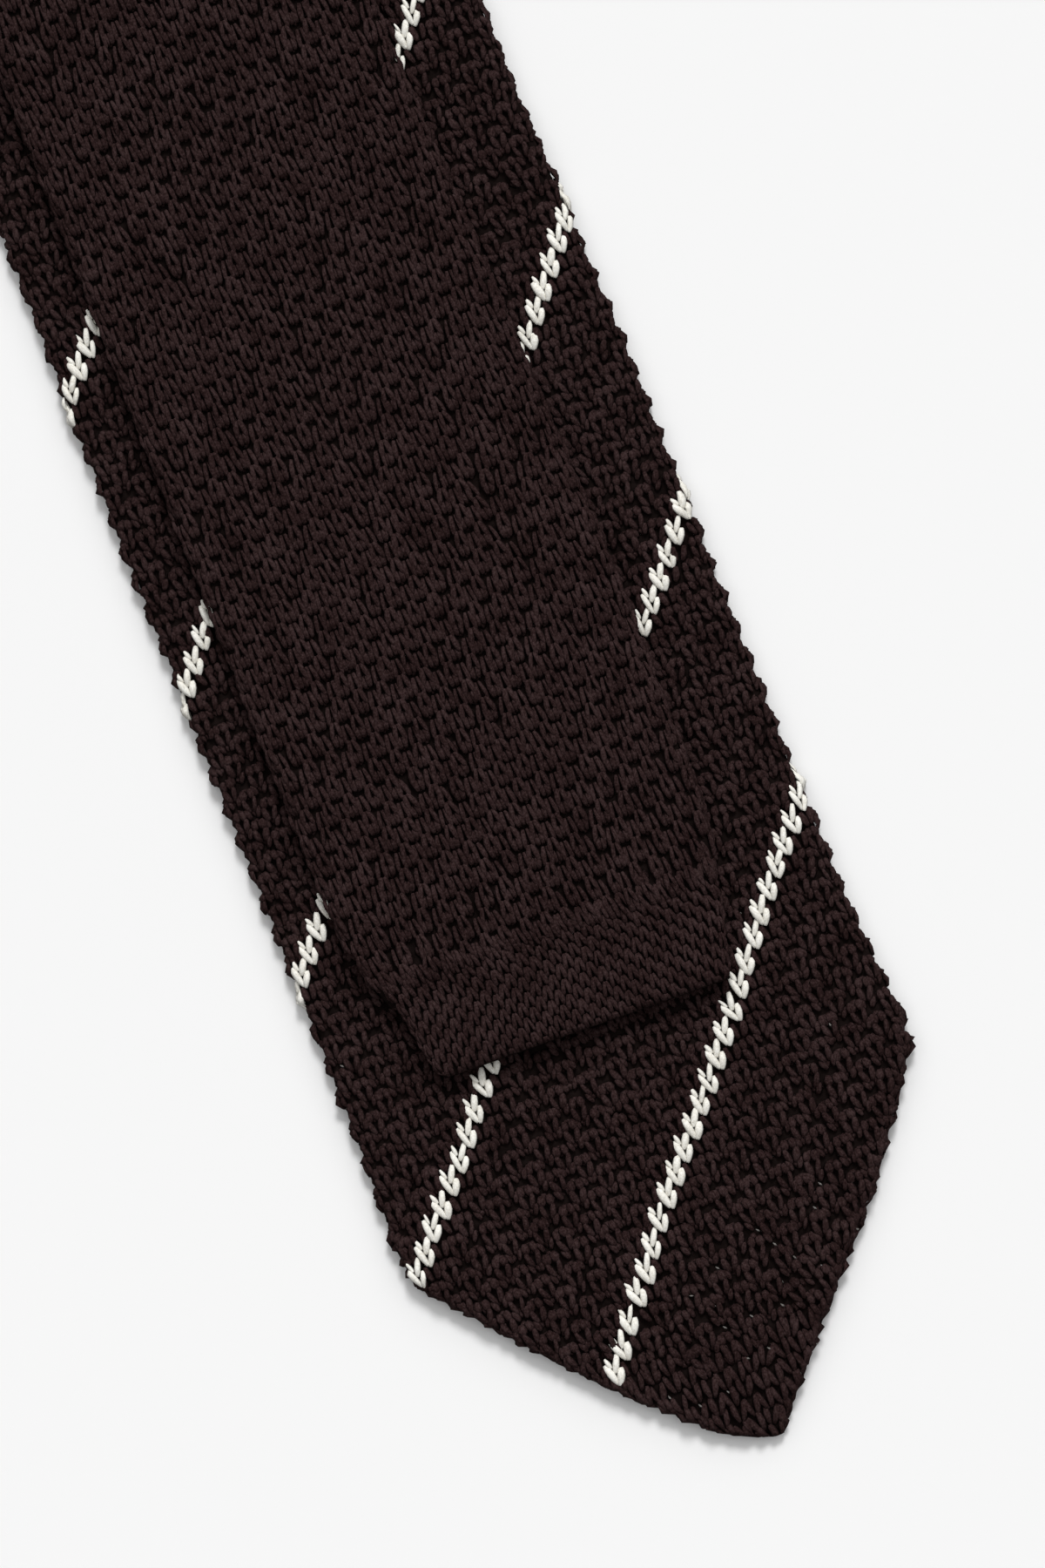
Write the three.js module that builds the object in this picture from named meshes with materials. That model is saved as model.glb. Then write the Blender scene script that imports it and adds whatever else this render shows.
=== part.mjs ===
import * as THREE from "three";

// A knitted tie: one long tube of cloth pressed flat, folded over at the neck and laid on a table,
// with its narrow blade on top of its broad one.
// Millimetres. +X is across the tie, +Y from the pointed tip to the neck fold, +Z up.
// The origin is on the table, under the middle of the folded tie.

// Driving sizes
const TIE_LENGTH = 1480; // along the cloth, from the pointed tip to the square end
const END_SETBACK = 57.6; // how far the square end lies above the pointed tip
const WALL = 1.5; // one thickness of the knitted cloth
const SLIT = 0.4; // the hollow between the two walls of the pressed tube
const GAP = 0.3; // between the two layers, and between one piece and the next
const FOLD_RADIUS = 3.2; // of the tube's middle surface, round the neck fold
const SETTLE_LENGTH = 36; // over which the upper layer comes down from the fold
const NECK_WIDTH = 38;
const NECK_STARTS = 535; // along the cloth, where the broad blade has tapered to the neck
const NECK_ENDS = 1038; // along the cloth, where the neck begins to widen to the narrow blade
const BAND_LENGTH = 10.4; // of the plain band that finishes the square end

// How finely round stretches are cut
const EDGE_STEPS = 6; // round each side edge of the tube
const FOLD_STEPS = 14; // round the neck fold
const SETTLE_STEPS = 9;

const LAYER = 2 * WALL + SLIT; // height of a pressed tube
const STRAIGHT = (TIE_LENGTH + END_SETBACK - Math.PI * FOLD_RADIUS) / 2; // length of the lower layer
const FOLD_ENDS = STRAIGHT + Math.PI * FOLD_RADIUS;
const FOLDED_LENGTH = STRAIGHT + FOLD_RADIUS + LAYER / 2;
const UPPER_BASE = LAYER + GAP; // the underside of the upper layer, once it has settled
const FOLD_RISE = LAYER / 2 + 2 * FOLD_RADIUS - (UPPER_BASE + LAYER / 2);

// One row for each section of the broad blade: its distance along the cloth from the tip,
// its left and right edges, and the height of the pressed tube there.
const BROAD_ROWS = [
  { along: 0, left: 0.1, right: 2.1, height: 2 },
  { along: 1.3, left: -3.1, right: 2.9, height: 2.5 },
  { along: 3.3, left: -6.4, right: 4.6, height: 2.9 },
  { along: 6.7, left: -9.9, right: 7.8, height: 3.2 },
  { along: 11.1, left: -14.7, right: 11.7, height: LAYER },
  { along: 17.8, left: -20.9, right: 17.7, height: LAYER },
  { along: 24.5, left: -26.7, right: 24, height: LAYER },
  { along: 31.2, left: -32.1, right: 29.1, height: LAYER },
  { along: 35.7, left: -35.5, right: 32.5, height: LAYER },
  { along: 40.1, left: -36, right: 35.7, height: LAYER },
  { along: 44.6, left: -35.7, right: 36, height: LAYER },
  { along: 58, left: -35.2, right: 35.2, height: LAYER },
  { along: 78, left: -34.9, right: 34.9, height: LAYER },
  { along: 138, left: -34.6, right: 35.2, height: LAYER },
  { along: 178, left: -33.9, right: 34.6, height: LAYER },
  { along: 300, left: -33.6, right: 34, height: LAYER },
  { along: 430, left: -33, right: 33, height: LAYER },
  { along: 460, left: -30.6, right: 30.6, height: LAYER },
  { along: 485, left: -26, right: 26, height: LAYER },
  { along: 510, left: -21.4, right: 21.4, height: LAYER },
  { along: NECK_STARTS, left: -NECK_WIDTH / 2, right: NECK_WIDTH / 2, height: LAYER },
];

// The first section of the broad blade that is hollow: nearer the tip its two walls are knitted together.
const HOLLOW_FROM = 2;

// The same for the narrow blade, measured back from the square end. Lift is how far the underside
// stands off the blade below it.
const NARROW_ROWS = [
  { fromEnd: TIE_LENGTH - NECK_ENDS - GAP, left: -NECK_WIDTH / 2, right: NECK_WIDTH / 2, height: LAYER, lift: 0 },
  { fromEnd: 415, left: -20.6, right: 20, height: LAYER, lift: 0 },
  { fromEnd: 385, left: -23.2, right: 21.6, height: LAYER, lift: 0 },
  { fromEnd: 350, left: -24.8, right: 22.4, height: LAYER, lift: 0 },
  { fromEnd: 200, left: -25.8, right: 22, height: LAYER, lift: 0 },
  { fromEnd: 126, left: -26.3, right: 21.8, height: LAYER, lift: 0 },
  { fromEnd: 87, left: -26.9, right: 22.6, height: LAYER, lift: 0 },
  { fromEnd: 55, left: -27.2, right: 23.2, height: LAYER, lift: 0 },
  { fromEnd: 27, left: -27.4, right: 22.6, height: LAYER, lift: 0.1 },
  { fromEnd: 20.4, left: -27.2, right: 22, height: 3.3, lift: 0.2 },
  { fromEnd: 14.8, left: -26.1, right: 21.2, height: 3.2, lift: 0.4 },
  { fromEnd: BAND_LENGTH + GAP, left: -25.1, right: 20.6, height: 3, lift: 0.5 },
];

// The plain band is thinner and narrower than the blade, and its open end stands off the most.
const BAND_ROWS = [
  { fromEnd: BAND_LENGTH, left: -23.8, right: 20.1, height: 2.6, lift: 0.6 },
  { fromEnd: 4.8, left: -23, right: 18.7, height: 2.6, lift: 0.8 },
  { fromEnd: 1.4, left: -22.5, right: 17.9, height: 2.6, lift: 1 },
  { fromEnd: 0, left: -21.8, right: 17.4, height: 2.4, lift: 1.1 },
];

function neckRow(along) {
  return { along, left: -NECK_WIDTH / 2, right: NECK_WIDTH / 2, height: LAYER };
}

// The neck keeps one width, so its rows are only cut finer where it bends.
function neckRows() {
  const rows = [neckRow(NECK_STARTS + GAP)];
  for (let step = 0; step < FOLD_STEPS; step += 1) {
    rows.push(neckRow(STRAIGHT + ((FOLD_ENDS - STRAIGHT) * step) / FOLD_STEPS));
  }
  for (let step = 0; step <= SETTLE_STEPS; step += 1) {
    rows.push(neckRow(FOLD_ENDS + (SETTLE_LENGTH * step) / SETTLE_STEPS));
  }
  rows.push(neckRow(NECK_ENDS));
  return rows;
}

// Turns rows that are measured back from the square end into rows measured from the tip.
function fromTip(rows) {
  return rows.map((row) => ({ ...row, along: TIE_LENGTH - row.fromEnd }));
}

// The tube's middle surface at a row: a point of it, and the way that the cloth runs on from there.
function pathAt({ along, height, lift = 0 }) {
  if (along <= STRAIGHT) {
    return { y: along, z: height / 2, runY: 1, runZ: 0 };
  }
  if (along <= FOLD_ENDS) {
    const turn = (along - STRAIGHT) / FOLD_RADIUS;
    return {
      y: STRAIGHT + FOLD_RADIUS * Math.sin(turn),
      z: height / 2 + FOLD_RADIUS * (1 - Math.cos(turn)),
      runY: Math.cos(turn),
      runZ: Math.sin(turn),
    };
  }
  const back = along - FOLD_ENDS;
  const share = Math.min(back / SETTLE_LENGTH, 1);
  const fallen = share * share * (3 - 2 * share);
  const slope = (-FOLD_RISE * 6 * share * (1 - share)) / SETTLE_LENGTH;
  const size = Math.hypot(1, slope);
  return {
    y: STRAIGHT - back,
    z: UPPER_BASE + lift + height / 2 + FOLD_RISE * (1 - fallen),
    runY: -1 / size,
    runZ: slope / size,
  };
}

// A closed line round the tube, with flat faces and half-round side edges, drawn inside the row's own
// outline by inset.
function ringAt(row, inset) {
  const radius = Math.min(row.height, row.right - row.left) / 2 - inset;
  const path = pathAt(row);
  const ring = [];
  for (const [side, edge] of [[1, row.right], [-1, row.left]]) {
    const centre = edge - side * (radius + inset);
    for (let step = 0; step <= EDGE_STEPS; step += 1) {
      const angle = side * (step / EDGE_STEPS - 0.5) * Math.PI;
      const up = radius * Math.sin(angle);
      ring.push(new THREE.Vector3(
        centre + side * radius * Math.cos(angle),
        path.y - up * path.runZ,
        path.z + up * path.runY,
      ));
    }
  }
  return ring;
}

// Joins two rings of a surface. Both rings run the same way round.
function band(triangles, from, to, count) {
  for (let i = 0; i < count; i += 1) {
    const next = (i + 1) % count;
    triangles.push([from + i, to + next, from + next], [from + i, to + i, to + next]);
  }
}

// Closes a ring with a fan round one more point.
function fan(triangles, centre, ring, count) {
  for (let i = 0; i < count; i += 1) {
    triangles.push([centre, ring + i, ring + ((i + 1) % count)]);
  }
}

function middleOf(ring) {
  const sum = new THREE.Vector3();
  ring.forEach((point) => sum.add(point));
  return sum.divideScalar(ring.length);
}

// A length of the pressed tube through its rows: an outer surface, an inner one, and a rim at each
// open end. hollowFrom is the first hollow row; before it the tube is shut.
function tubeGeometry(rows, hollowFrom) {
  const outer = rows.map((row) => ringAt(row, 0));
  const inner = rows.slice(hollowFrom).map((row) => ringAt(row, (row.height - SLIT) / 2));
  const count = outer[0].length;
  const points = [...outer, ...inner].flat();
  const outerAt = (row) => row * count;
  const innerAt = (row) => (outer.length + row) * count;
  const triangles = [];
  for (let row = 0; row + 1 < outer.length; row += 1) {
    band(triangles, outerAt(row), outerAt(row + 1), count);
  }
  for (let row = 0; row + 1 < inner.length; row += 1) {
    band(triangles, innerAt(row + 1), innerAt(row), count);
  }
  band(triangles, outerAt(outer.length - 1), innerAt(inner.length - 1), count);
  if (hollowFrom > 0) {
    points.push(middleOf(outer[0]), middleOf(inner[0]));
    fan(triangles, points.length - 2, outerAt(0), count);
    const blind = [];
    fan(blind, points.length - 1, innerAt(0), count);
    blind.forEach(([centre, first, second]) => triangles.push([centre, second, first]));
  } else {
    band(triangles, innerAt(0), outerAt(0), count);
  }
  const geometry = new THREE.BufferGeometry().setFromPoints(points);
  geometry.setIndex(triangles.flat());
  geometry.computeVertexNormals();
  return geometry;
}

function piece(name, rows, color, hollowFrom = 0) {
  const material = new THREE.MeshStandardMaterial({ color, roughness: 0.85, metalness: 0 });
  const mesh = new THREE.Mesh(tubeGeometry(rows, hollowFrom), material);
  mesh.name = name;
  return mesh;
}

const DARK_BROWN = 0x30201f;
const PLAIN_BAND_BROWN = 0x34221f;

const group = new THREE.Group();
group.add(
  piece("broad_blade", BROAD_ROWS, DARK_BROWN, HOLLOW_FROM),
  piece("neck_band", neckRows(), DARK_BROWN),
  piece("narrow_blade", fromTip(NARROW_ROWS), DARK_BROWN),
  piece("narrow_end_band", fromTip(BAND_ROWS), PLAIN_BAND_BROWN),
);
group.position.y = -FOLDED_LENGTH / 2;

export default group;
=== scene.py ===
"""A knitted tie that lies flat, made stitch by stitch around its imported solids.

The solids are one long tube of cloth, pressed flat and folded over at the neck. Here each of them
is replaced by a thin hollow backing, and the stitches of its knit are laid over that as short strands
of yarn.
"""

import math
from collections import namedtuple

import bpy
import numpy as np
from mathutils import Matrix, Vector


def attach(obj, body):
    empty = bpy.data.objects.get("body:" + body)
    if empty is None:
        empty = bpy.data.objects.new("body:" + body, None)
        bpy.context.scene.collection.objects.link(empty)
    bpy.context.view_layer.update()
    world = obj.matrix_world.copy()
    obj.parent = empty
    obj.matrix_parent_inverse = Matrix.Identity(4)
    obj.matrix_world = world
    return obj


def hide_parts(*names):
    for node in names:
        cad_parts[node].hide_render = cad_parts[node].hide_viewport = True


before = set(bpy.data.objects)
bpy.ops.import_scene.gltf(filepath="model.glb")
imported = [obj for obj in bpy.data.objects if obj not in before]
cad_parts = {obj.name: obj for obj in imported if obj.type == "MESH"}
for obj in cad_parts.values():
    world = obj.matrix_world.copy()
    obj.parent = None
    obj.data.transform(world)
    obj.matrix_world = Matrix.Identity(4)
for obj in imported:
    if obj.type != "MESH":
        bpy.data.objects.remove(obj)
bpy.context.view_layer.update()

# Lengths are in millimetres until place() turns them into metres.
MM = 0.001

# Sizes of the tube, the same as the solids have
TIE_LENGTH = 1480
END_SETBACK = 57.6
WALL = 1.5
SLIT = 0.4
GAP = 0.3
FOLD_RADIUS = 3.2
SETTLE_LENGTH = 36
NECK_WIDTH = 38
NECK_STARTS = 535
NECK_ENDS = 1038
BAND_LENGTH = 10.4
LAYER = 2 * WALL + SLIT
STRAIGHT = (TIE_LENGTH + END_SETBACK - math.pi * FOLD_RADIUS) / 2
FOLD_ENDS = STRAIGHT + math.pi * FOLD_RADIUS
FOLDED_LENGTH = STRAIGHT + FOLD_RADIUS + LAYER / 2
UPPER_BASE = LAYER + GAP
FOLD_RISE = LAYER / 2 + 2 * FOLD_RADIUS - (UPPER_BASE + LAYER / 2)
BAND_STARTS = TIE_LENGTH - BAND_LENGTH

# A section of the tube: how far along the cloth from the tip it is, its left and right edges,
# its height, and how far it is lifted off what it lies on.
Section = namedtuple("Section", "along left right height lift", defaults=[LAYER, 0])

BROAD = [
    Section(0, 0.1, 2.1, 2),
    Section(1.3, -3.1, 2.9, 2.5),
    Section(3.3, -6.4, 4.6, 2.9),
    Section(6.7, -9.9, 7.8, 3.2),
    Section(11.1, -14.7, 11.7),
    Section(17.8, -20.9, 17.7),
    Section(24.5, -26.7, 24),
    Section(31.2, -32.1, 29.1),
    Section(35.7, -35.5, 32.5),
    Section(40.1, -36, 35.7),
    Section(44.6, -35.7, 36),
    Section(58, -35.2, 35.2),
    Section(78, -34.9, 34.9),
    Section(138, -34.6, 35.2),
    Section(178, -33.9, 34.6),
    Section(300, -33.6, 34),
    Section(430, -33, 33),
    Section(460, -30.6, 30.6),
    Section(485, -26, 26),
    Section(510, -21.4, 21.4),
    Section(NECK_STARTS, -NECK_WIDTH / 2, NECK_WIDTH / 2),
]
NARROW = [
    Section(NECK_ENDS + GAP, -NECK_WIDTH / 2, NECK_WIDTH / 2),
    Section(TIE_LENGTH - 415, -20.6, 20),
    Section(TIE_LENGTH - 385, -23.2, 21.6),
    Section(TIE_LENGTH - 350, -24.8, 22.4),
    Section(TIE_LENGTH - 200, -25.8, 22),
    Section(TIE_LENGTH - 126, -26.3, 21.8),
    Section(TIE_LENGTH - 87, -26.9, 22.6),
    Section(TIE_LENGTH - 55, -27.2, 23.2),
    Section(TIE_LENGTH - 27, -27.4, 22.6, LAYER, 0.1),
    Section(TIE_LENGTH - 20.4, -27.2, 22, 3.3, 0.2),
    Section(TIE_LENGTH - 14.8, -26.1, 21.2, 3.2, 0.4),
    Section(BAND_STARTS - GAP, -25.1, 20.6, 3, 0.5),
]
BAND = [
    Section(BAND_STARTS, -23.8, 20.1, 2.6, 0.6),
    Section(TIE_LENGTH - 4.8, -23, 18.7, 2.6, 0.8),
    Section(TIE_LENGTH - 1.4, -22.5, 17.9, 2.6, 1),
    Section(TIE_LENGTH, -21.8, 17.4, 2.4, 1.1),
]
TUBE = np.array(BROAD + NARROW + BAND)

# The stitches go smoothly over the step between the narrow blade and its end band.
STEP_STARTS = BAND_STARTS - 2.5
STEP_ENDS = BAND_STARTS + 1
KNIT_TUBE = np.array([
    *BROAD,
    *NARROW[:-1],
    NARROW[-1]._replace(along=STEP_STARTS),
    BAND[0]._replace(along=STEP_ENDS),
    *BAND[1:],
])
POINT_LENGTH = 44.6  # of the pointed end, where the edges run in

# The knit. A stitch column runs along the cloth, and a course is half of the height of its stitches,
# because the stitches of neighbouring columns lie half a stitch apart.
COLUMNS = 35  # on each face
COLUMN_SHIFT = 0.43  # of a column, by which the middle column lies left of the middle line
STRIPE_STEP = 18  # courses from one stripe to the next
FIRST_STRIPE = 14  # course of the first stripe, on the middle column
STRIPE_COURSE = FIRST_STRIPE % STRIPE_STEP
STRIPES_START = 12.6  # along the cloth; nearer the tip it has no stripes
JOG_COLUMN = COLUMNS + COLUMNS // 2  # behind, where the stripes jog
JOG = 2  # courses by which they do
LEAN = 0.06  # the courses of the broad blade rise towards the right
LEAN_SHARES = ([0, 20, 430, NECK_STARTS], [0.4 * LEAN, LEAN, LEAN, 0])  # places, and the lean there

# A course that the photograph fixes: its place along the cloth, and its number from the tip
Course = namedtuple("Course", "along count")
COURSES = [
    Course(0, 0),
    Course(33.5, 14),
    Course(75.5, 32),
    Course(115.2, 50),
    Course(154.9, 68),
    Course(196.7, 86),
    Course(430, 189),
    Course(NECK_STARTS, 228),
    Course(NECK_ENDS, 390),
    Course(1370, 500),
    Course(1410, 513.5),
    Course(BAND_STARTS, 534),
]
PLAIN_COURSE = 1.02  # half of the height of a stitch of the plain band
PLAIN_STARTS = BAND_STARTS - 4.3  # the first plain stitches lie over the edge of the blade
LAST_COURSE = 0.1  # reach round the blade's last course, of which only the hanging legs show
END_SKEW = 0.046  # by which the square end is lower at its right
SKEW_STARTS = 1395  # along the cloth, where the courses of the narrow blade begin to slant

# What the camera of the photograph sees, along the cloth
PLAIN_TIP = 14  # the knit is plain up to here
SEEN_BROAD = 214
SEEN_NARROW = 1322


def section_at(along, tube=KNIT_TUBE):
    """The tube's section at each place, as columns of numbers."""
    return Section(along, *(np.interp(along, tube[:, 0], tube[:, k]) for k in (1, 2, 3, 4)))


def middle_at(along):
    """The line that the middle columns follow, which is straight in the pointed end."""
    section = section_at(np.maximum(along, POINT_LENGTH))
    return (section.left + section.right) / 2


def column_width_at(along):
    """Width of a stitch column. The pointed end cuts across its columns, so it doesn't narrow them."""
    section = section_at(np.maximum(along, POINT_LENGTH))
    face = section.right - section.left + (math.pi / 2 - 1) * section.height
    return face / COLUMNS


def skew_at(along):
    """How steeply the courses of the narrow blade slant towards its square end."""
    share = np.clip((along - SKEW_STARTS) / (BAND_STARTS - SKEW_STARTS), 0, 1)
    return END_SKEW * share * share * (3 - 2 * share)


def path_at(section):
    """The tube's middle surface at each section: its place, and the way that the cloth runs on."""
    along = section.along
    turn = np.clip((along - STRAIGHT) / FOLD_RADIUS, 0, math.pi)
    back = np.maximum(along - FOLD_ENDS, 0)
    share = np.minimum(back / SETTLE_LENGTH, 1)
    fallen = share * share * (3 - 2 * share)
    slope = -FOLD_RISE * 6 * share * (1 - share) / SETTLE_LENGTH
    size = np.hypot(1, slope)
    y = np.minimum(along, STRAIGHT) + FOLD_RADIUS * np.sin(turn) - back
    round_fold = section.height / 2 + FOLD_RADIUS * (1 - np.cos(turn))
    settled = UPPER_BASE + section.lift + section.height / 2 + FOLD_RISE * (1 - fallen)
    over = along > FOLD_ENDS
    z = np.where(over, settled, round_fold)
    run_y = np.where(over, -1 / size, np.cos(turn))
    run_z = np.where(over, slope / size, np.sin(turn))
    return y, z, run_y, run_z


FURTHEST_ROUND = 0.6 * math.pi  # how far a strand is bent round a side edge, where it is tucked in
HEM_RADIUS = 1.1  # of the rounded mouth of the end band


def hem_drop(along):
    """How far the stitches turn in over the mouth of the end band."""
    share = np.clip((along - TIE_LENGTH + HEM_RADIUS) / HEM_RADIUS, 0, 1)
    return HEM_RADIUS * (1 - np.sqrt(1 - share * share))


# The bumps along the side edges, and along the slanting edges of the point
BUMP_LENGTH = 4.4
BUMP_SIZE = 0.5
POINT_BUMP_LENGTH = 1.9
POINT_BUMP_SIZE = 0.65
BUMP_WANDER = 0.15  # of a bump, by which they are unevenly spaced
WANDER_ANGLE = 1.7  # of the wave in which they are, for each millimetre
BUMP_OFFSET = 0.3  # of a bump, between the two sides
BUMP_SHARES = ([0, 4, 300, 400], [0, 1, 1, 0])  # along the cloth, and how much of them is left there


def rim_bump(along, side):
    """How far the edge stands out, as the last stitches of each course round it."""
    pointed = along < POINT_LENGTH
    length = np.where(pointed, POINT_BUMP_LENGTH, BUMP_LENGTH)
    start = POINT_LENGTH * (1 / POINT_BUMP_LENGTH - 1 / BUMP_LENGTH)
    count = along / length + np.where(pointed, 0, start)
    count = count + BUMP_WANDER * np.sin(WANDER_ANGLE * along + side) + BUMP_OFFSET * side
    size = np.where(pointed, POINT_BUMP_SIZE, BUMP_SIZE) * np.interp(along, *BUMP_SHARES)
    return 0.5 * size * np.cos(2 * math.pi * count)


def place(face, across, along, out):
    """Points in metres, from how far round the face they lie, how far along the cloth and how far out.

    Face 1 is the upper face of the broad blade. Face -1 is the other one, which comes up over the fold
    and is the upper face of the narrow blade.
    """
    along = np.clip(along, 0, TIE_LENGTH)
    section = section_at(along)
    y, z, run_y, run_z = path_at(section)
    middle = middle_at(along)
    out = out - hem_drop(along)
    sign = np.where(across < 0, -1.0, 1.0)
    edge = np.where(sign * face < 0, middle - section.left, section.right - middle)
    edge = edge + rim_bump(along, sign * face)
    radius = np.minimum(section.height, section.right - section.left) / 2
    flat = edge - radius
    turn = np.clip((np.abs(across) - flat) / radius, 0, FURTHEST_ROUND)
    reach = np.minimum(np.abs(across), flat) + (radius + out) * np.sin(turn)
    up = face * (radius + out) * np.cos(turn)
    x = middle + face * sign * reach
    points = np.stack([
        x,
        y - up * run_z - skew_at(along) * x - FOLDED_LENGTH / 2,
        np.maximum(z + up * run_y, 0),
    ], axis=-1)
    return points * MM


def half_face_at(along, side, face):
    """How far it is round the face from its middle line to the middle of its side edge."""
    section = section_at(along)
    middle = middle_at(along)
    edge = np.where(side * face < 0, middle - section.left, section.right - middle)
    radius = np.minimum(section.height, section.right - section.left) / 2
    return edge + (math.pi / 2 - 1) * radius


# Stitches of a face: where each one is, its size, and the small ways in which it differs from the next
Stitches = namedtuple("Stitches", "across along width height turn lift seed")
random = np.random.default_rng(5)

SIDE_REACH = 0.1  # of a column, by which stitches may lie past the middle of a side edge
POINT_REACH = -0.25  # the same for the slanting edges, which loops cover instead
SLANTING = 0.9 * POINT_LENGTH  # along the cloth; nearer the tip the edges are slanting ones

# How much the stitches stray: across and along in millimetres, turn in radians, lift in millimetres
Stray = namedtuple("Stray", "across along turn lift")
STRAY = Stray(0.04, 0.06, 0.06, 0.05)
# Places along the cloth, and how many times that much they stray there
LOOSE_SHARES = ([0, PLAIN_TIP, 2 * PLAIN_TIP, SEEN_BROAD, SEEN_NARROW], [3, 3, 1.5, 1.5, 1])

# A slow wave in which the courses wander: its size in millimetres, and its angle for each millimetre
Wave = namedtuple("Wave", "size across along start")
WAVES = [Wave(0.3, 0.19, 0.05, 0), Wave(0.2, 0.11, -0.17, 1)]


def column_grid(counts):
    """Every column of a face, with one more at either side for the edges, at each count."""
    columns = np.arange(-1, COLUMNS + 1)
    return (grid.ravel() for grid in np.meshgrid(columns, counts))


def is_striped(round_column, count, level):
    """Whether a stitch belongs to a stripe. A stripe climbs one course with every column."""
    jog = np.where(round_column > JOG_COLUMN, JOG, 0)
    striped = (count - round_column + COLUMNS // 2 - jog - STRIPE_COURSE) % STRIPE_STEP == 0
    return striped & (level < NECK_STARTS) & (level > STRIPES_START)


def stitches_of(face, first, last, white, every=False):
    """The stitches of one face between two places along the cloth, either the brown or the white ones.

    Every second crossing of a column and a course has one, or all of them where the knit is plain.
    """
    column, count = column_grid(np.arange(0, COURSES[-1].count + 1))
    round_column = column if face > 0 else column + COLUMNS
    level = np.interp(count, [c.count for c in COURSES], [c.along for c in COURSES])
    width = column_width_at(level)
    across = (column - COLUMNS // 2 - COLUMN_SHIFT) * width
    along = level + np.interp(level, *LEAN_SHARES) * face * across
    slope = np.gradient(np.array([c.along for c in COURSES]), np.array([c.count for c in COURSES]))
    height = 2 * np.interp(count, [c.count for c in COURSES], slope)
    reach = np.where(along < SLANTING, POINT_REACH, SIDE_REACH)
    keep = every | ((round_column + count + COLUMNS // 2) % 2 == 0)
    keep &= (along >= first) & (along < last)
    keep &= np.abs(across) <= half_face_at(along, np.sign(across), face) + reach * width
    keep &= is_striped(round_column, count, level) == white
    keep &= ~covered(face, across, along)
    across, along, width, height = across[keep], along[keep], width[keep], height[keep]
    total = len(across)
    loose = np.interp(along, *LOOSE_SHARES)
    return Stitches(
        across + STRAY.across * loose * random.standard_normal(total),
        along + ripple(across, along) + STRAY.along * loose * random.standard_normal(total),
        width,
        height,
        STRAY.turn * loose * random.standard_normal(total),
        STRAY.lift * loose * random.standard_normal(total),
        random.random(total),
    )


def ripple(across, along):
    """How far the stitches wander along the cloth, smoothly from place to place."""
    return sum(w.size * np.sin(w.across * across + w.along * along + w.start) for w in WAVES)


COVER_MARGIN = 4  # how far in under the narrow blade the stitches go on


def covered(face, across, along):
    """Whether a stitch of the lower layer lies well under the narrow blade, where nobody sees it."""
    above = section_at(FOLD_ENDS + STRAIGHT - along)
    x = middle_at(along) + face * across
    under = (x > above.left + COVER_MARGIN) & (x < above.right - COVER_MARGIN)
    return under & (along > END_SETBACK + COVER_MARGIN) & (face > 0)


# A strand of a stitch: three points of its path, with its width at each, and whether it has a twin at
# the other side of its column. Across and width are in column widths. Down is towards the pointed tip, in
# stitch heights. Out is out of the cloth, in millimetres.
Knot = namedtuple("Knot", "across down out width")
Strand = namedtuple("Strand", "start bend end mirrored")

LOBES = Strand(
    Knot(0.20, -0.14, -0.35, 0.58), Knot(0.27, 0.01, 0.60, 0.70), Knot(0.26, 0.14, -0.10, 0.58), True
)
LEGS = Strand(
    Knot(0.43, 0.02, 0.00, 0.48), Knot(0.37, 0.22, 0.75, 0.58), Knot(0.13, 0.43, 0.10, 0.50), True
)
HANGING_LEGS = Strand(
    Knot(0.35, 0.36, 0.00, 0.46), Knot(0.36, 0.58, 0.60, 0.56), Knot(0.17, 0.79, -0.10, 0.44), True
)
WIDE_LOBES = Strand(
    Knot(0.20, -0.15, -0.35, 0.52), Knot(0.30, 0.00, 0.65, 0.64), Knot(0.27, 0.15, -0.20, 0.52), True
)
LONG_LEGS = Strand(
    Knot(0.38, 0.11, 0.00, 0.38), Knot(0.33, 0.32, 0.80, 0.47), Knot(0.12, 0.52, -0.30, 0.42), True
)
SHORT_LEGS = Strand(
    Knot(0.42, 0.40, -0.20, 0.40), Knot(0.37, 0.55, 0.25, 0.46), Knot(0.22, 0.71, -0.35, 0.38), True
)
BLOCK = Strand(
    Knot(0, -0.19, -0.50, 1.00), Knot(0, -0.02, 0.75, 1.20), Knot(0, 0.14, -0.25, 1.00), False
)
BROWN_STITCH = [LOBES, LEGS, HANGING_LEGS]
BROAD_STITCH = [WIDE_LOBES, LONG_LEGS, SHORT_LEGS]
FAR_STITCH = [BLOCK, LEGS, HANGING_LEGS]
UNDER_STITCH = [BLOCK, LEGS]
# Deeper in the cloth there is more yarn behind the stitches, and only the largest holes go through it.
INNER_STITCH = [
    Strand(
        Knot(0, -0.17, -0.65, 0.80), Knot(0, 0.00, -0.20, 1.00), Knot(0, 0.15, -0.65, 0.80), False
    ),
    Strand(
        Knot(0, 0.41, -0.65, 0.70), Knot(0, 0.54, -0.25, 0.90), Knot(0, 0.67, -0.65, 0.70), False
    ),
]
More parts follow.
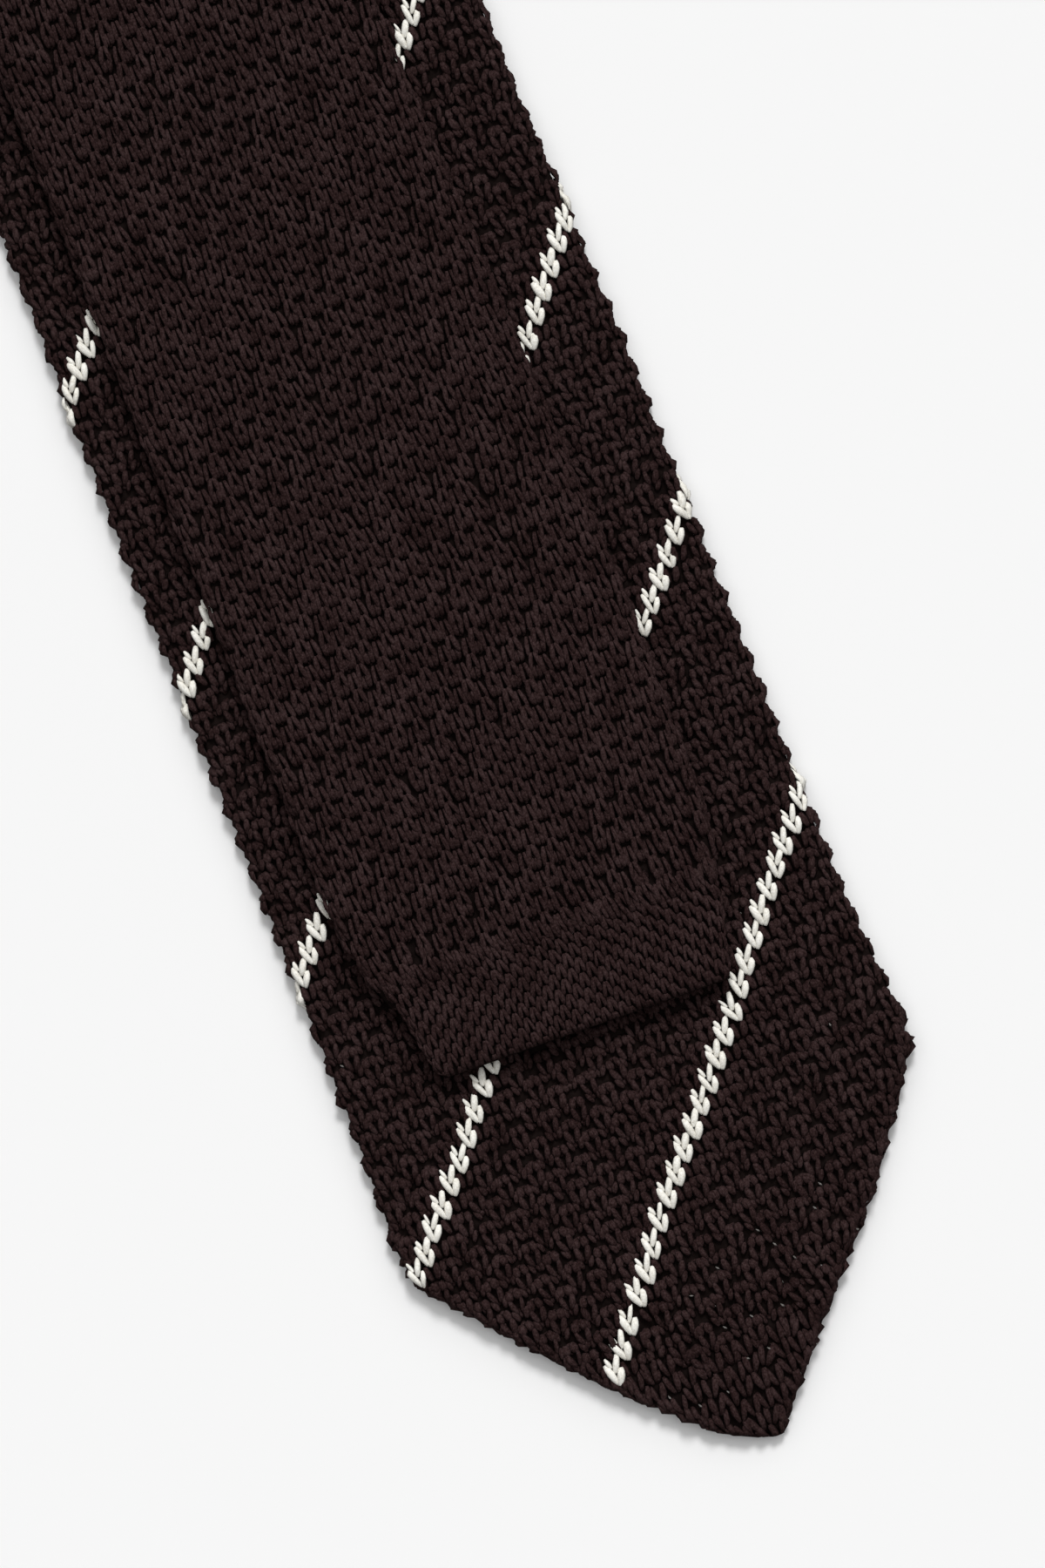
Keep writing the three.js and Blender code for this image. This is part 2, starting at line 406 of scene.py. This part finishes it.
# Nearest the tip the knit is plain, with a pair of legs at every course.
TIP_STITCH = [
    Strand(
        Knot(0.36, -0.28, -0.55, 0.42), Knot(0.36, -0.02, 0.85, 0.50), Knot(0.10, 0.27, -0.55, 0.38), True
    ),
]
WHITE_STITCH = [
    Strand(
        Knot(-0.46, -0.28, 0.0, 0.38), Knot(-0.30, -0.04, 1.1, 0.47), Knot(-0.07, 0.33, 0.0, 0.38), False
    ),
    Strand(
        Knot(0.44, -0.08, 0.0, 0.38), Knot(0.37, 0.09, 1.1, 0.48), Knot(0.00, 0.38, 0.0, 0.38), False
    ),
    Strand(
        Knot(0.50, -0.46, -0.1, 0.38), Knot(0.27, -0.22, 0.9, 0.44), Knot(-0.01, 0.02, 0.0, 0.38), False
    ),
    Strand(
        Knot(-0.32, -0.44, -0.1, 0.18), Knot(-0.22, -0.30, 0.6, 0.30), Knot(-0.12, -0.14, 0.0, 0.26), False
    ),
]
# Below a white stitch the knit goes on with the brown legs that hang from it.
UNDER_WHITE = [HANGING_LEGS]
PLAIN_STITCH = [
    Strand(
        Knot(0.36, -0.52, -0.35, 0.58), Knot(0.35, -0.10, 0.45, 0.62), Knot(0.08, 0.48, -0.30, 0.52), True
    ),
]

# In some holes of the broad blade a bit of the white yarn shows, which runs on behind the knit.
SPECK = [
    Strand(
        Knot(0.04, 0.76, -0.45, 0.10), Knot(0.13, 0.82, 0.25, 0.14), Knot(0.22, 0.87, -0.45, 0.10), False
    ),
]

# How finely a strand is cut: points along it, and points over its back
Fineness = namedtuple("Fineness", "along over")
FINE = Fineness(5, 4)
COARSE = Fineness(3, 3)
WHITE_FINE = Fineness(7, 5)

CHART_MARGIN = 0.3  # steps that a strand's patch of the chart is wider than the strand, at each side
CHART_END = 0.7  # the same at each end, with room for the face that closes it
END_STRIP = 0.4  # width of that face in the chart, in steps


def end_face(row, order, low):
    """A face that closes a strand, as corners with their step along it and over it in the chart."""
    return [(row[side], low + END_STRIP * (k % 2), side) for k, side in enumerate(order)]


class Yarn:
    """Gathers the strands of one piece and makes its mesh."""

    def __init__(self):
        self.points = []
        self.corners = []
        self.starts = []
        self.fibre = []
        self.chart = []
        self.chart_of = []
        self.point_count = 0
        self.corner_count = 0
        self.strand_count = 0

    def add(self, points, fibre):
        """Adds strands, with the place of their points in the cloth's fibres.

        Both are arrays of strand, step along it, step over it, and coordinate.
        """
        strands, along, over = points.shape[:3]
        index = np.arange(along * over).reshape(along, over)
        faces = []
        for step in range(along - 1):
            for side in range(over):
                following = (side + 1) % over
                faces.append([
                    (index[step, side], step, side),
                    (index[step, following], step, side + 1),
                    (index[step + 1, following], step + 1, side + 1),
                    (index[step + 1, side], step + 1, side),
                ])
        faces.append(end_face(index[0], (0, *range(over - 1, 0, -1)), -0.5))
        faces.append(end_face(index[-1], range(over), along - 0.5 - END_STRIP))
        corners = [corner for face in faces for corner in face]
        corner = np.array([point for point, _, _ in corners])
        chart = np.array([(
            (side + CHART_MARGIN) / (over + 2 * CHART_MARGIN),
            (step + CHART_END) / (along - 1 + 2 * CHART_END),
        ) for _, step, side in corners])
        sizes = np.array([len(face) for face in faces])
        starts = np.concatenate([[0], np.cumsum(sizes)[:-1]])
        shift = np.arange(strands)[:, None]
        self.points.append(points.reshape(-1, 3))
        self.corners.append((self.point_count + corner[None] + shift * along * over).ravel())
        self.starts.append((self.corner_count + starts[None] + shift * sizes.sum()).ravel())
        self.fibre.append(fibre.reshape(strands, -1, 2)[:, corner].reshape(-1, 2))
        self.chart.append(np.tile(chart, (strands, 1)))
        self.chart_of.append(np.repeat(self.strand_count + np.arange(strands), len(corner)))
        self.point_count += strands * along * over
        self.corner_count += strands * int(sizes.sum())
        self.strand_count += strands

    def mesh(self, name):
        """The mesh, with a map of the fibres and a map that gives each strand its own patch."""
        mesh = bpy.data.meshes.new(name)
        corners, starts = np.concatenate(self.corners), np.concatenate(self.starts)
        mesh.vertices.add(self.point_count)
        mesh.vertices.foreach_set("co", np.concatenate(self.points).astype(np.float32).ravel())
        mesh.loops.add(len(corners))
        mesh.loops.foreach_set("vertex_index", corners.astype(np.int32))
        mesh.polygons.add(len(starts))
        mesh.polygons.foreach_set("loop_start", starts.astype(np.int32))
        mesh.polygons.foreach_set("use_smooth", np.ones(len(starts), bool))
        mesh.update(calc_edges=True)
        write_map(mesh, FIBRE_MAP, np.concatenate(self.fibre))
        patches = math.ceil(math.sqrt(self.strand_count))
        which = np.concatenate(self.chart_of)
        corner = np.stack([which % patches, which // patches], axis=1)
        write_map(mesh, PATCH_MAP, (corner + np.concatenate(self.chart)) / patches)
        return mesh


FIBRE_MAP = "Fibres"
PATCH_MAP = "OFBake"


def write_map(mesh, name, places):
    """Writes a UV map, with a place for each corner of each face."""
    layer = mesh.uv_layers.new(name=name, do_init=False)
    layer.uv.foreach_set("vector", places.astype(np.float32).ravel())


def curve_through(start, bend, end, shares):
    """A curve from start to end that bends towards the point between them."""
    return (1 - shares) ** 2 * start + 2 * shares * (1 - shares) * bend + shares ** 2 * end


def lay(yarn, face, stitches, pattern, fineness):
    """Lays the strands of a pattern at every stitch."""
    if len(stitches.across) == 0:
        return
    for strand in pattern:
        for mirror in ((1, -1) if strand.mirrored else (1,)):
            lay_strand(yarn, face, stitches, strand, mirror, fineness)


END_FULLNESS = 0.88  # 1 rounds a strand's ends to a point, and 0 cuts them off square
STRAND_DEPTH = 0.5  # how far a strand's back is rounded down to its sides, at most
WIDTH_STRAY = 0.1  # share by which the strands differ in width
LEVEL_STRAY = 0.05  # by how much they lie higher or lower in the cloth
SEED_SPREAD = (20, 40)  # how far apart the fibres of different stitches are taken, across and along
TWIN_SPREAD = 7  # the same for the twins of a stitch


def lay_strand(yarn, face, stitches, strand, mirror, fineness):
    """Lays one strand of a pattern at every stitch, or its twin where mirror is -1."""
    shares = (1 - np.cos(np.linspace(0, math.pi, fineness.along))) / 2
    start, bend, end = (np.array(knot) for knot in (strand.start, strand.bend, strand.end))
    across, down, out, _ = (curve_through(start[k], bend[k], end[k], shares) for k in range(4))
    rounding = np.sqrt(1 - (END_FULLNESS * (2 * shares - 1)) ** 4)
    width = rounding * np.interp(shares, [0, 0.5, 1], [start[3], bend[3], end[3]])
    count = len(stitches.seed)
    width = width * stitches.width[:, None] * (1 + WIDTH_STRAY * random.standard_normal((count, 1)))
    x = mirror * across * stitches.width[:, None]
    y = -down * stitches.height[:, None]
    turn = stitches.turn[:, None]
    x, y = x * np.cos(turn) - y * np.sin(turn), x * np.sin(turn) + y * np.cos(turn)
    run_x, run_y = np.gradient(x, axis=1), np.gradient(y, axis=1)
    size = np.hypot(run_x, run_y)
    over = np.linspace(0, math.pi, fineness.over)
    half = (width / 2)[..., None]
    sideways = half * np.cos(over)
    depth = np.minimum(half, STRAND_DEPTH) * (1 - np.sin(over))
    level = out + stitches.lift[:, None] + LEVEL_STRAY * random.standard_normal((count, 1))
    points = place(
        face,
        stitches.across[:, None, None] + x[..., None] - (run_y / size)[..., None] * sideways,
        stitches.along[:, None, None] + y[..., None] + (run_x / size)[..., None] * sideways,
        level[..., None] - depth,
    )
    seed = stitches.seed[:, None, None]
    length = np.cumsum(size, axis=1)[..., None] + SEED_SPREAD[1] * seed
    seam = half * (over - math.pi / 2) + TWIN_SPREAD * mirror + SEED_SPREAD[0] * seed
    fibre = np.stack(np.broadcast_arrays(seam, length), axis=-1)
    yarn.add(points, fibre)


# Materials

# The noise that makes a strand's fibres: how often it changes in a millimetre, across the strand and
# along it, and its turn
FIBRE_SCALE = (9, 1.6, 1)
FIBRE_TURN = math.radians(9)
# How often the other noises change in a metre, and the share of the colour that each makes
FUZZ_SCALE = 3600
FUZZ_SHARE = 0.5
CLOUD_SCALE = 260
CLOUD_SHARE = 0.25
LOOP_SCALE = 900  # of the loops behind the stitches, in the same way
# Where the noise gives a yarn's deep, middle and light colours
DEEP_AT = 0.41
MID_AT = 0.5
LIGHT_AT = 0.59
FIBRE_DEPTH = 0.1 * MM
LOOP_DEPTH = 0.3 * MM


def new_material(name):
    """A material with its nodes, its links and its shader."""
    material = bpy.data.materials.new(name)
    material.use_nodes = True
    tree = material.node_tree
    return material, tree.nodes, tree.links, tree.nodes["Principled BSDF"]


def yarn_material(name, deep, mid, light, roughness, sheen, fibre_bump):
    """Yarn of fine fibres that run along its strands, a little lighter and darker from place to place."""
    material, nodes, links, shader = new_material(name)
    uv = nodes.new("ShaderNodeUVMap")
    uv.uv_map = FIBRE_MAP
    stretch = nodes.new("ShaderNodeMapping")
    stretch.inputs["Rotation"].default_value = (0, 0, FIBRE_TURN)
    stretch.inputs["Scale"].default_value = FIBRE_SCALE
    links.new(uv.outputs["UV"], stretch.inputs["Vector"])
    fibres = nodes.new("ShaderNodeTexNoise")
    fibres.inputs["Scale"].default_value = 1
    fibres.inputs["Detail"].default_value = 3
    fibres.inputs["Roughness"].default_value = 0.6
    links.new(stretch.outputs["Vector"], fibres.inputs["Vector"])

    place_of = nodes.new("ShaderNodeTexCoord")
    fuzz = nodes.new("ShaderNodeTexNoise")
    fuzz.inputs["Scale"].default_value = FUZZ_SCALE
    fuzz.inputs["Detail"].default_value = 2
    links.new(place_of.outputs["Object"], fuzz.inputs["Vector"])
    near = nodes.new("ShaderNodeMix")
    near.inputs["Factor"].default_value = FUZZ_SHARE
    links.new(fibres.outputs["Fac"], near.inputs["A"])
    links.new(fuzz.outputs["Fac"], near.inputs["B"])
    cloudy = nodes.new("ShaderNodeTexNoise")
    cloudy.inputs["Scale"].default_value = CLOUD_SCALE
    cloudy.inputs["Detail"].default_value = 4
    links.new(place_of.outputs["Object"], cloudy.inputs["Vector"])
    both = nodes.new("ShaderNodeMix")
    both.inputs["Factor"].default_value = CLOUD_SHARE
    links.new(near.outputs["Result"], both.inputs["A"])
    links.new(cloudy.outputs["Fac"], both.inputs["B"])
    ramp = nodes.new("ShaderNodeValToRGB")
    ramp.color_ramp.elements[0].position = DEEP_AT
    ramp.color_ramp.elements[0].color = (*deep, 1)
    ramp.color_ramp.elements[1].position = LIGHT_AT
    ramp.color_ramp.elements[1].color = (*light, 1)
    middle = ramp.color_ramp.elements.new(MID_AT)
    middle.color = (*mid, 1)
    links.new(both.outputs["Result"], ramp.inputs["Fac"])
    links.new(ramp.outputs["Color"], shader.inputs["Base Color"])

    bump = nodes.new("ShaderNodeBump")
    bump.inputs["Strength"].default_value = fibre_bump
    bump.inputs["Distance"].default_value = FIBRE_DEPTH
    links.new(near.outputs["Result"], bump.inputs["Height"])
    links.new(bump.outputs["Normal"], shader.inputs["Normal"])

    shader.inputs["Roughness"].default_value = roughness
    shader.inputs["Specular IOR Level"].default_value = 0.05
    shader.inputs["Sheen Weight"].default_value = sheen
    shader.inputs["Sheen Roughness"].default_value = 0.5
    return material


def backing_material():
    """The yarn behind the stitches, as small loops, in painted shade: darker than the brown yarn, as the
    holes between the stitches look.
    """
    material, nodes, links, shader = new_material("brown_knit_behind_painted_shade")
    place_of = nodes.new("ShaderNodeTexCoord")
    loops = nodes.new("ShaderNodeTexVoronoi")
    loops.inputs["Scale"].default_value = LOOP_SCALE
    links.new(place_of.outputs["Object"], loops.inputs["Vector"])
    # Darker towards the edges of each loop, where the bump makes it dip: painted shade between the loops.
    ramp = nodes.new("ShaderNodeValToRGB")
    ramp.color_ramp.elements[0].color = (0.0110, 0.0072, 0.0066, 1)
    ramp.color_ramp.elements[1].color = (0.0060, 0.0040, 0.0037, 1)
    links.new(loops.outputs["Distance"], ramp.inputs["Fac"])
    links.new(ramp.outputs["Color"], shader.inputs["Base Color"])
    bump = nodes.new("ShaderNodeBump")
    bump.invert = True
    bump.inputs["Strength"].default_value = 0.8
    bump.inputs["Distance"].default_value = LOOP_DEPTH
    links.new(loops.outputs["Distance"], bump.inputs["Height"])
    links.new(bump.outputs["Normal"], shader.inputs["Normal"])
    shader.inputs["Roughness"].default_value = 0.9
    shader.inputs["Specular IOR Level"].default_value = 0
    return material


BROWN = yarn_material(
    "brown_knit", (0.0115, 0.0052, 0.0050), (0.0240, 0.0123, 0.0120), (0.043, 0.0255, 0.0252), 0.9, 0.0, 1.0
)
WHITE = yarn_material(
    "white_yarn", (0.66, 0.63, 0.56), (0.80, 0.78, 0.72), (0.88, 0.87, 0.82), 0.75, 0.1, 0.35
)
# The white yarn darkened with painted shade, for the bits of it that show deep in the holes.
WHITE_PAINTED_SHADE = yarn_material(
    "white_yarn_painted_shade", (0.12, 0.11, 0.10), (0.17, 0.16, 0.15), (0.22, 0.21, 0.20), 0.85, 0.0, 0.35
)
# The backing's colour is painted shade: it is darker than the yarn, as the deep holes between the stitches
# are.
BEHIND_PAINTED_SHADE = backing_material()


def add_piece(name, mesh, material):
    """Puts a mesh in the scene as a piece of the tie."""
    piece = bpy.data.objects.new(name, mesh)
    bpy.context.scene.collection.objects.link(piece)
    mesh.materials.append(material)
    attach(piece, "root")
    return piece


# Backing

BACKING_INSET = 1.0  # how deep the backing lies behind the stitches' crowns
INSET_SHARE = 0.4  # share of the tube's height that this is at most
SIDE_INSET = 0.4  # share of that depth by which it lies behind the side edges
EDGE_STEPS = 6  # round each side edge
FOLD_STEPS = 15  # round the neck fold
SETTLE_STARTS = 4
SETTLE_STEPS = 9


def ring_points(section, inset):
    """A closed line round the tube at each section, drawn inside its outline by inset."""
    y, z, run_y, run_z = path_at(section)
    radius = np.minimum(section.height, section.right - section.left) / 2 - inset
    ring = []
    for side, edge in ((1, section.right), (-1, section.left)):
        centre = edge - side * (radius + SIDE_INSET * inset)
        for angle in side * np.linspace(-math.pi / 2, math.pi / 2, EDGE_STEPS + 1):
            up = radius * math.sin(angle)
            x = centre + side * radius * math.cos(angle)
            slant = skew_at(section.along) * x
            ring.append(np.stack([x, y - up * run_z - slant - FOLDED_LENGTH / 2, z + up * run_y], axis=-1))
    return np.stack(ring, axis=1) * MM


def backing_sections(first, last):
    """The tube's sections between two places along the cloth, closer together where it bends."""
    steps = [
        *TUBE[:, 0],
        *np.linspace(STRAIGHT, FOLD_ENDS, FOLD_STEPS),
        *(FOLD_ENDS + np.linspace(SETTLE_STARTS, SETTLE_LENGTH, SETTLE_STEPS)),
    ]
    along = np.array(sorted({first, last, *(step for step in steps if first < step < last)}))
    return section_at(along, TUBE)


def backing_mesh(name, section):
    """A hollow tube through its sections: an outer wall, an inner wall, and a rim at each end."""
    outer = ring_points(section, np.minimum(BACKING_INSET, INSET_SHARE * section.height))
    inner = ring_points(section, (section.height - SLIT) / 2)
    rows, count = outer.shape[:2]
    inside = rows * count
    faces = []
    for row in range(rows - 1):
        for i in range(count):
            j = (i + 1) % count
            a, b = row * count, (row + 1) * count
            faces.append((a + i, a + j, b + j, b + i))
            faces.append((inside + a + j, inside + a + i, inside + b + i, inside + b + j))
    for row, flip in ((0, True), (rows - 1, False)):
        for i in range(count):
            j = (i + 1) % count
            a = row * count
            b = inside + a
            rim = (a + i, a + j, b + j, b + i)
            faces.append(rim[::-1] if flip else rim)
    points = np.concatenate([outer.reshape(-1, 3), inner.reshape(-1, 3)])
    mesh = bpy.data.meshes.new(name)
    mesh.from_pydata(points.tolist(), [], faces)
    mesh.shade_smooth()
    return mesh


def backing(name, first, last, node):
    """The cloth between two places along it, which stands for a solid and carries its stitches."""
    section = backing_sections(first, last)
    piece = add_piece(name, backing_mesh(name, section), BEHIND_PAINTED_SHADE)
    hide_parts(node)


# Stitches


def knit(name, parts, material=BROWN):
    """One piece of stitches. Each part is a face, the two ends of a stretch, a pattern and a fineness."""
    yarn = Yarn()
    for face, first, last, pattern, fineness in parts:
        white = pattern is WHITE_STITCH
        lay(yarn, face, stitches_of(face, first, last, white, pattern is TIP_STITCH), pattern, fineness)
        if not white and pattern is not INNER_STITCH:
            lay(yarn, face, stitches_of(face, first, last, True), UNDER_WHITE, fineness)
    return add_piece(name, yarn.mesh(name), material)


SPECKS_START = 3  # along the cloth
SPECKLED = (9, 33)  # the stretch of the broad blade that has most of the specks
SPECKLED_FROM = -11  # across it, from there to its right edge
SPECKS_THERE = 0.55  # share of its stitches
SPECKS_ELSEWHERE = 0.006
SPECK_TURN = 0.3


def specks():
    """Bits of white yarn that show in some holes of the broad blade, most of them near its tip, coloured
    with painted shade.
    """
    yarn = Yarn()
    stitches = stitches_of(1, SPECKS_START, SEEN_BROAD, False)
    thick = (stitches.along > SPECKLED[0]) & (stitches.along < SPECKLED[1])
    thick &= stitches.across > SPECKLED_FROM
    keep = stitches.seed < np.where(thick, SPECKS_THERE, SPECKS_ELSEWHERE)
    stitches = Stitches(*(column[keep] for column in stitches))
    stitches = stitches._replace(turn=SPECK_TURN * random.standard_normal(len(stitches.turn)))
    lay(yarn, 1, stitches, SPECK, COARSE)
    return add_piece("white_specks", yarn.mesh("white_specks"), WHITE_PAINTED_SHADE)


PLAIN_TURN = 0.04  # how much the plain stitches stray, which is less than the others do
PLAIN_LIFT = 0.03


def plain_band():
    """The plain knit that finishes the square end, in small stitches that point up the blade."""
    yarn = Yarn()
    column, count = column_grid(np.arange(round((TIE_LENGTH - PLAIN_STARTS) / PLAIN_COURSE) + 1))
    along = PLAIN_STARTS + (count + 0.5) * PLAIN_COURSE
    width = column_width_at(along)
    across = (column - COLUMNS // 2 - COLUMN_SHIFT) * width
    keep = (column + count) % 2 == 0
    keep &= np.abs(across) <= half_face_at(along, np.sign(across), -1) + SIDE_REACH * width
    across, along, width = across[keep], along[keep], width[keep]
    total = len(across)
    stitches = Stitches(
        across,
        along,
        width,
        np.full(total, 2 * PLAIN_COURSE),
        PLAIN_TURN * random.standard_normal(total),
        PLAIN_LIFT * random.standard_normal(total),
        random.random(total),
    )
    lay(yarn, -1, stitches, PLAIN_STITCH, FINE)
    return add_piece("narrow_end_stitches", yarn.mesh("narrow_end_stitches"), BROWN)


EDGE_LOOP = 1.9  # from one loop of a slanting edge to the next
EDGE_TWIST = math.radians(62)  # between a loop and its edge
EDGE_ROWS = [0.2, 1.5]  # the rows of loops: how far inside the edge each lies
EDGE_STRAY = Stray(0.12, 0.12, 0.2, 0.05)
EDGE_SAMPLES = 400  # places at which the edge's length is measured
# Here across and width are in millimetres and down is in loops, because a loop follows no column.
EDGE_STITCH = [
    Strand(Knot(0.0, -0.62, -0.40, 1.10), Knot(0.0, 0.00, 0.60, 1.35), Knot(0.0, 0.62, -0.40, 1.10), False),
]


def edge_loops(yarn, side):
    """Loops along one slanting edge of the pointed end, each a strand that lies over the rim."""
    along = np.linspace(0.2, POINT_LENGTH, EDGE_SAMPLES)
    edge = half_face_at(along, side, 1)
    length = np.concatenate([[0], np.cumsum(np.hypot(np.diff(edge), np.diff(along)))])
    count = round(length[-1] / EDGE_LOOP)
    for row, inside in enumerate(EDGE_ROWS):
        loop = np.arange(count) + 0.5 + 0.5 * row + EDGE_STRAY.along * random.standard_normal(count)
        at = np.interp(loop / (count + 0.5) * length[-1], length, along)
        slant = np.interp(at, along, np.gradient(edge, along))
        edge_at = np.interp(at, along, edge)
        stitches = Stitches(
            side * (edge_at - inside + EDGE_STRAY.across * random.standard_normal(count)),
            at,
            np.full(count, 1.0),
            np.full(count, EDGE_LOOP),
            -side * (np.arctan(slant) - EDGE_TWIST) + EDGE_STRAY.turn * random.standard_normal(count),
            EDGE_STRAY.lift * random.standard_normal(count),
            random.random(count),
        )
        lay(yarn, 1, stitches, EDGE_STITCH, FINE)


def edges():
    """The loops of both slanting edges, as one piece."""
    yarn = Yarn()
    edge_loops(yarn, -1)
    edge_loops(yarn, 1)
    return add_piece("tip_edge_loops", yarn.mesh("tip_edge_loops"), BROWN)


tip_edges = edges()
broad_front = knit("broad_front_stitches", [
    (1, 0, PLAIN_TIP, TIP_STITCH, FINE),
    (1, PLAIN_TIP, SEEN_BROAD, BROAD_STITCH, FINE),
])
broad_sides = knit("broad_side_stitches", [(1, SEEN_BROAD, NECK_STARTS, FAR_STITCH, COARSE)])
broad_under = knit("broad_underside_stitches", [(-1, 0, NECK_STARTS, UNDER_STITCH, COARSE)])
stripes = knit("stripe_stitches", [
    (1, 0, SEEN_BROAD, WHITE_STITCH, WHITE_FINE),
    (1, SEEN_BROAD, NECK_STARTS, WHITE_STITCH, COARSE),
    (-1, 0, NECK_STARTS, WHITE_STITCH, COARSE),
], WHITE)
neck_under = knit("neck_underside_stitches", [(-1, NECK_STARTS, STRAIGHT, UNDER_STITCH, COARSE)])
neck_top = knit("neck_stitches", [(-1, STRAIGHT, NECK_ENDS, UNDER_STITCH, COARSE)])
narrow_far = knit("narrow_upper_stitches", [(-1, NECK_ENDS, SEEN_NARROW, FAR_STITCH, COARSE)])
narrow_front = knit("narrow_front_stitches", [
    (-1, SEEN_NARROW, BAND_STARTS - LAST_COURSE, BROWN_STITCH, FINE),
    (-1, BAND_STARTS - LAST_COURSE, BAND_STARTS + LAST_COURSE, [HANGING_LEGS], FINE),
])
broad_inner = knit("broad_inner_stitches", [(1, PLAIN_TIP, SEEN_BROAD, INNER_STITCH, COARSE)])
narrow_inner = knit("narrow_inner_stitches", [(-1, SEEN_NARROW, BAND_STARTS, INNER_STITCH, COARSE)])
band_front = plain_band()
white_specks = specks()

backing("broad_blade_cloth", 0, NECK_STARTS, "broad_blade")
backing("neck_cloth", NECK_STARTS + GAP, NECK_ENDS, "neck_band")
backing("narrow_blade_cloth", NECK_ENDS + GAP, BAND_STARTS - GAP, "narrow_blade")
backing("narrow_end_cloth", BAND_STARTS, TIE_LENGTH, "narrow_end_band")


# Floor, light and camera

FLOOR_REACH = 30  # metres, to each side


def floor():
    """A pale floor that can be looked through from below, so that the tie's underside shows too."""
    corners = [(x * FLOOR_REACH, y * FLOOR_REACH, 0) for x, y in ((-1, -1), (1, -1), (1, 1), (-1, 1))]
    mesh = bpy.data.meshes.new("floor")
    mesh.from_pydata(corners, [], [(0, 1, 2, 3)])
    ground = bpy.data.objects.new("floor", mesh)
    bpy.context.scene.collection.objects.link(ground)
    material, nodes, links, shader = new_material("floor")
    shader.inputs["Base Color"].default_value = (0.85, 0.85, 0.85, 1)
    shader.inputs["Roughness"].default_value = 1
    shader.inputs["Specular IOR Level"].default_value = 0
    clear = nodes.new("ShaderNodeBsdfTransparent")
    sides = nodes.new("ShaderNodeNewGeometry")
    rays = nodes.new("ShaderNodeLightPath")
    first = nodes.new("ShaderNodeMath")
    first.operation = "MAXIMUM"
    links.new(rays.outputs["Is Diffuse Ray"], first.inputs[0])
    links.new(rays.outputs["Is Shadow Ray"], first.inputs[1])
    either = nodes.new("ShaderNodeMath")
    either.operation = "MAXIMUM"
    links.new(first.outputs["Value"], either.inputs[0])
    links.new(sides.outputs["Backfacing"], either.inputs[1])
    mix = nodes.new("ShaderNodeMixShader")
    links.new(either.outputs["Value"], mix.inputs["Fac"])
    links.new(shader.outputs["BSDF"], mix.inputs[1])
    links.new(clear.outputs["BSDF"], mix.inputs[2])
    links.new(mix.outputs["Shader"], nodes["Material Output"].inputs["Surface"])
    mesh.materials.append(material)


# The photograph's frame: its middle on the cloth, its two directions and its long side
VIEW_MIDDLE = (1.8, 89.8)
VIEW_TURN = math.radians(-22.01)
VIEW_HEIGHT = 200.6
VIEW_LEVEL = 5  # height of the cloth that the frame is measured on
LENS = 200
SENSOR = 36


def camera():
    """A camera with a long lens straight above the part of the tie that the photograph shows."""
    data = bpy.data.cameras.new("camera")
    data.lens = LENS
    data.sensor_width = SENSOR
    data.clip_end = 100
    eye = bpy.data.objects.new("camera", data)
    bpy.context.scene.collection.objects.link(eye)
    distance = VIEW_HEIGHT * LENS / SENSOR
    eye.location = Vector((
        VIEW_MIDDLE[0], VIEW_MIDDLE[1] - FOLDED_LENGTH / 2, VIEW_LEVEL + distance,
    )) * MM
    eye.rotation_euler = (0, 0, VIEW_TURN)
    bpy.context.scene.camera = eye


def sun(name, towards, energy, angle):
    """A light from far away, in the direction towards, as wide as angle in degrees."""
    data = bpy.data.lights.new(name, "SUN")
    data.energy = energy
    data.angle = math.radians(angle)
    lamp = bpy.data.objects.new(name, data)
    bpy.context.scene.collection.objects.link(lamp)
    lamp.rotation_euler = Vector(towards).to_track_quat("Z", "Y").to_euler()


AROUND = 0.19  # strength of the light from all round


def lights():
    """A wide soft light from above and beyond the neck fold, a smaller one, and a little all round."""
    world = bpy.data.worlds.new("soft_box")
    bpy.context.scene.world = world
    world.use_nodes = True
    world.node_tree.nodes["Background"].inputs["Color"].default_value = (1, 1, 1, 1)
    world.node_tree.nodes["Background"].inputs["Strength"].default_value = AROUND
    sun("overhead_light", (0.18, 0.42, 1), 1.62, 100)
    sun("key_light", (0.42, 0.95, 1.15), 1.85, 16)


floor()
camera()
lights()
bpy.context.scene.view_settings.view_transform = "Standard"
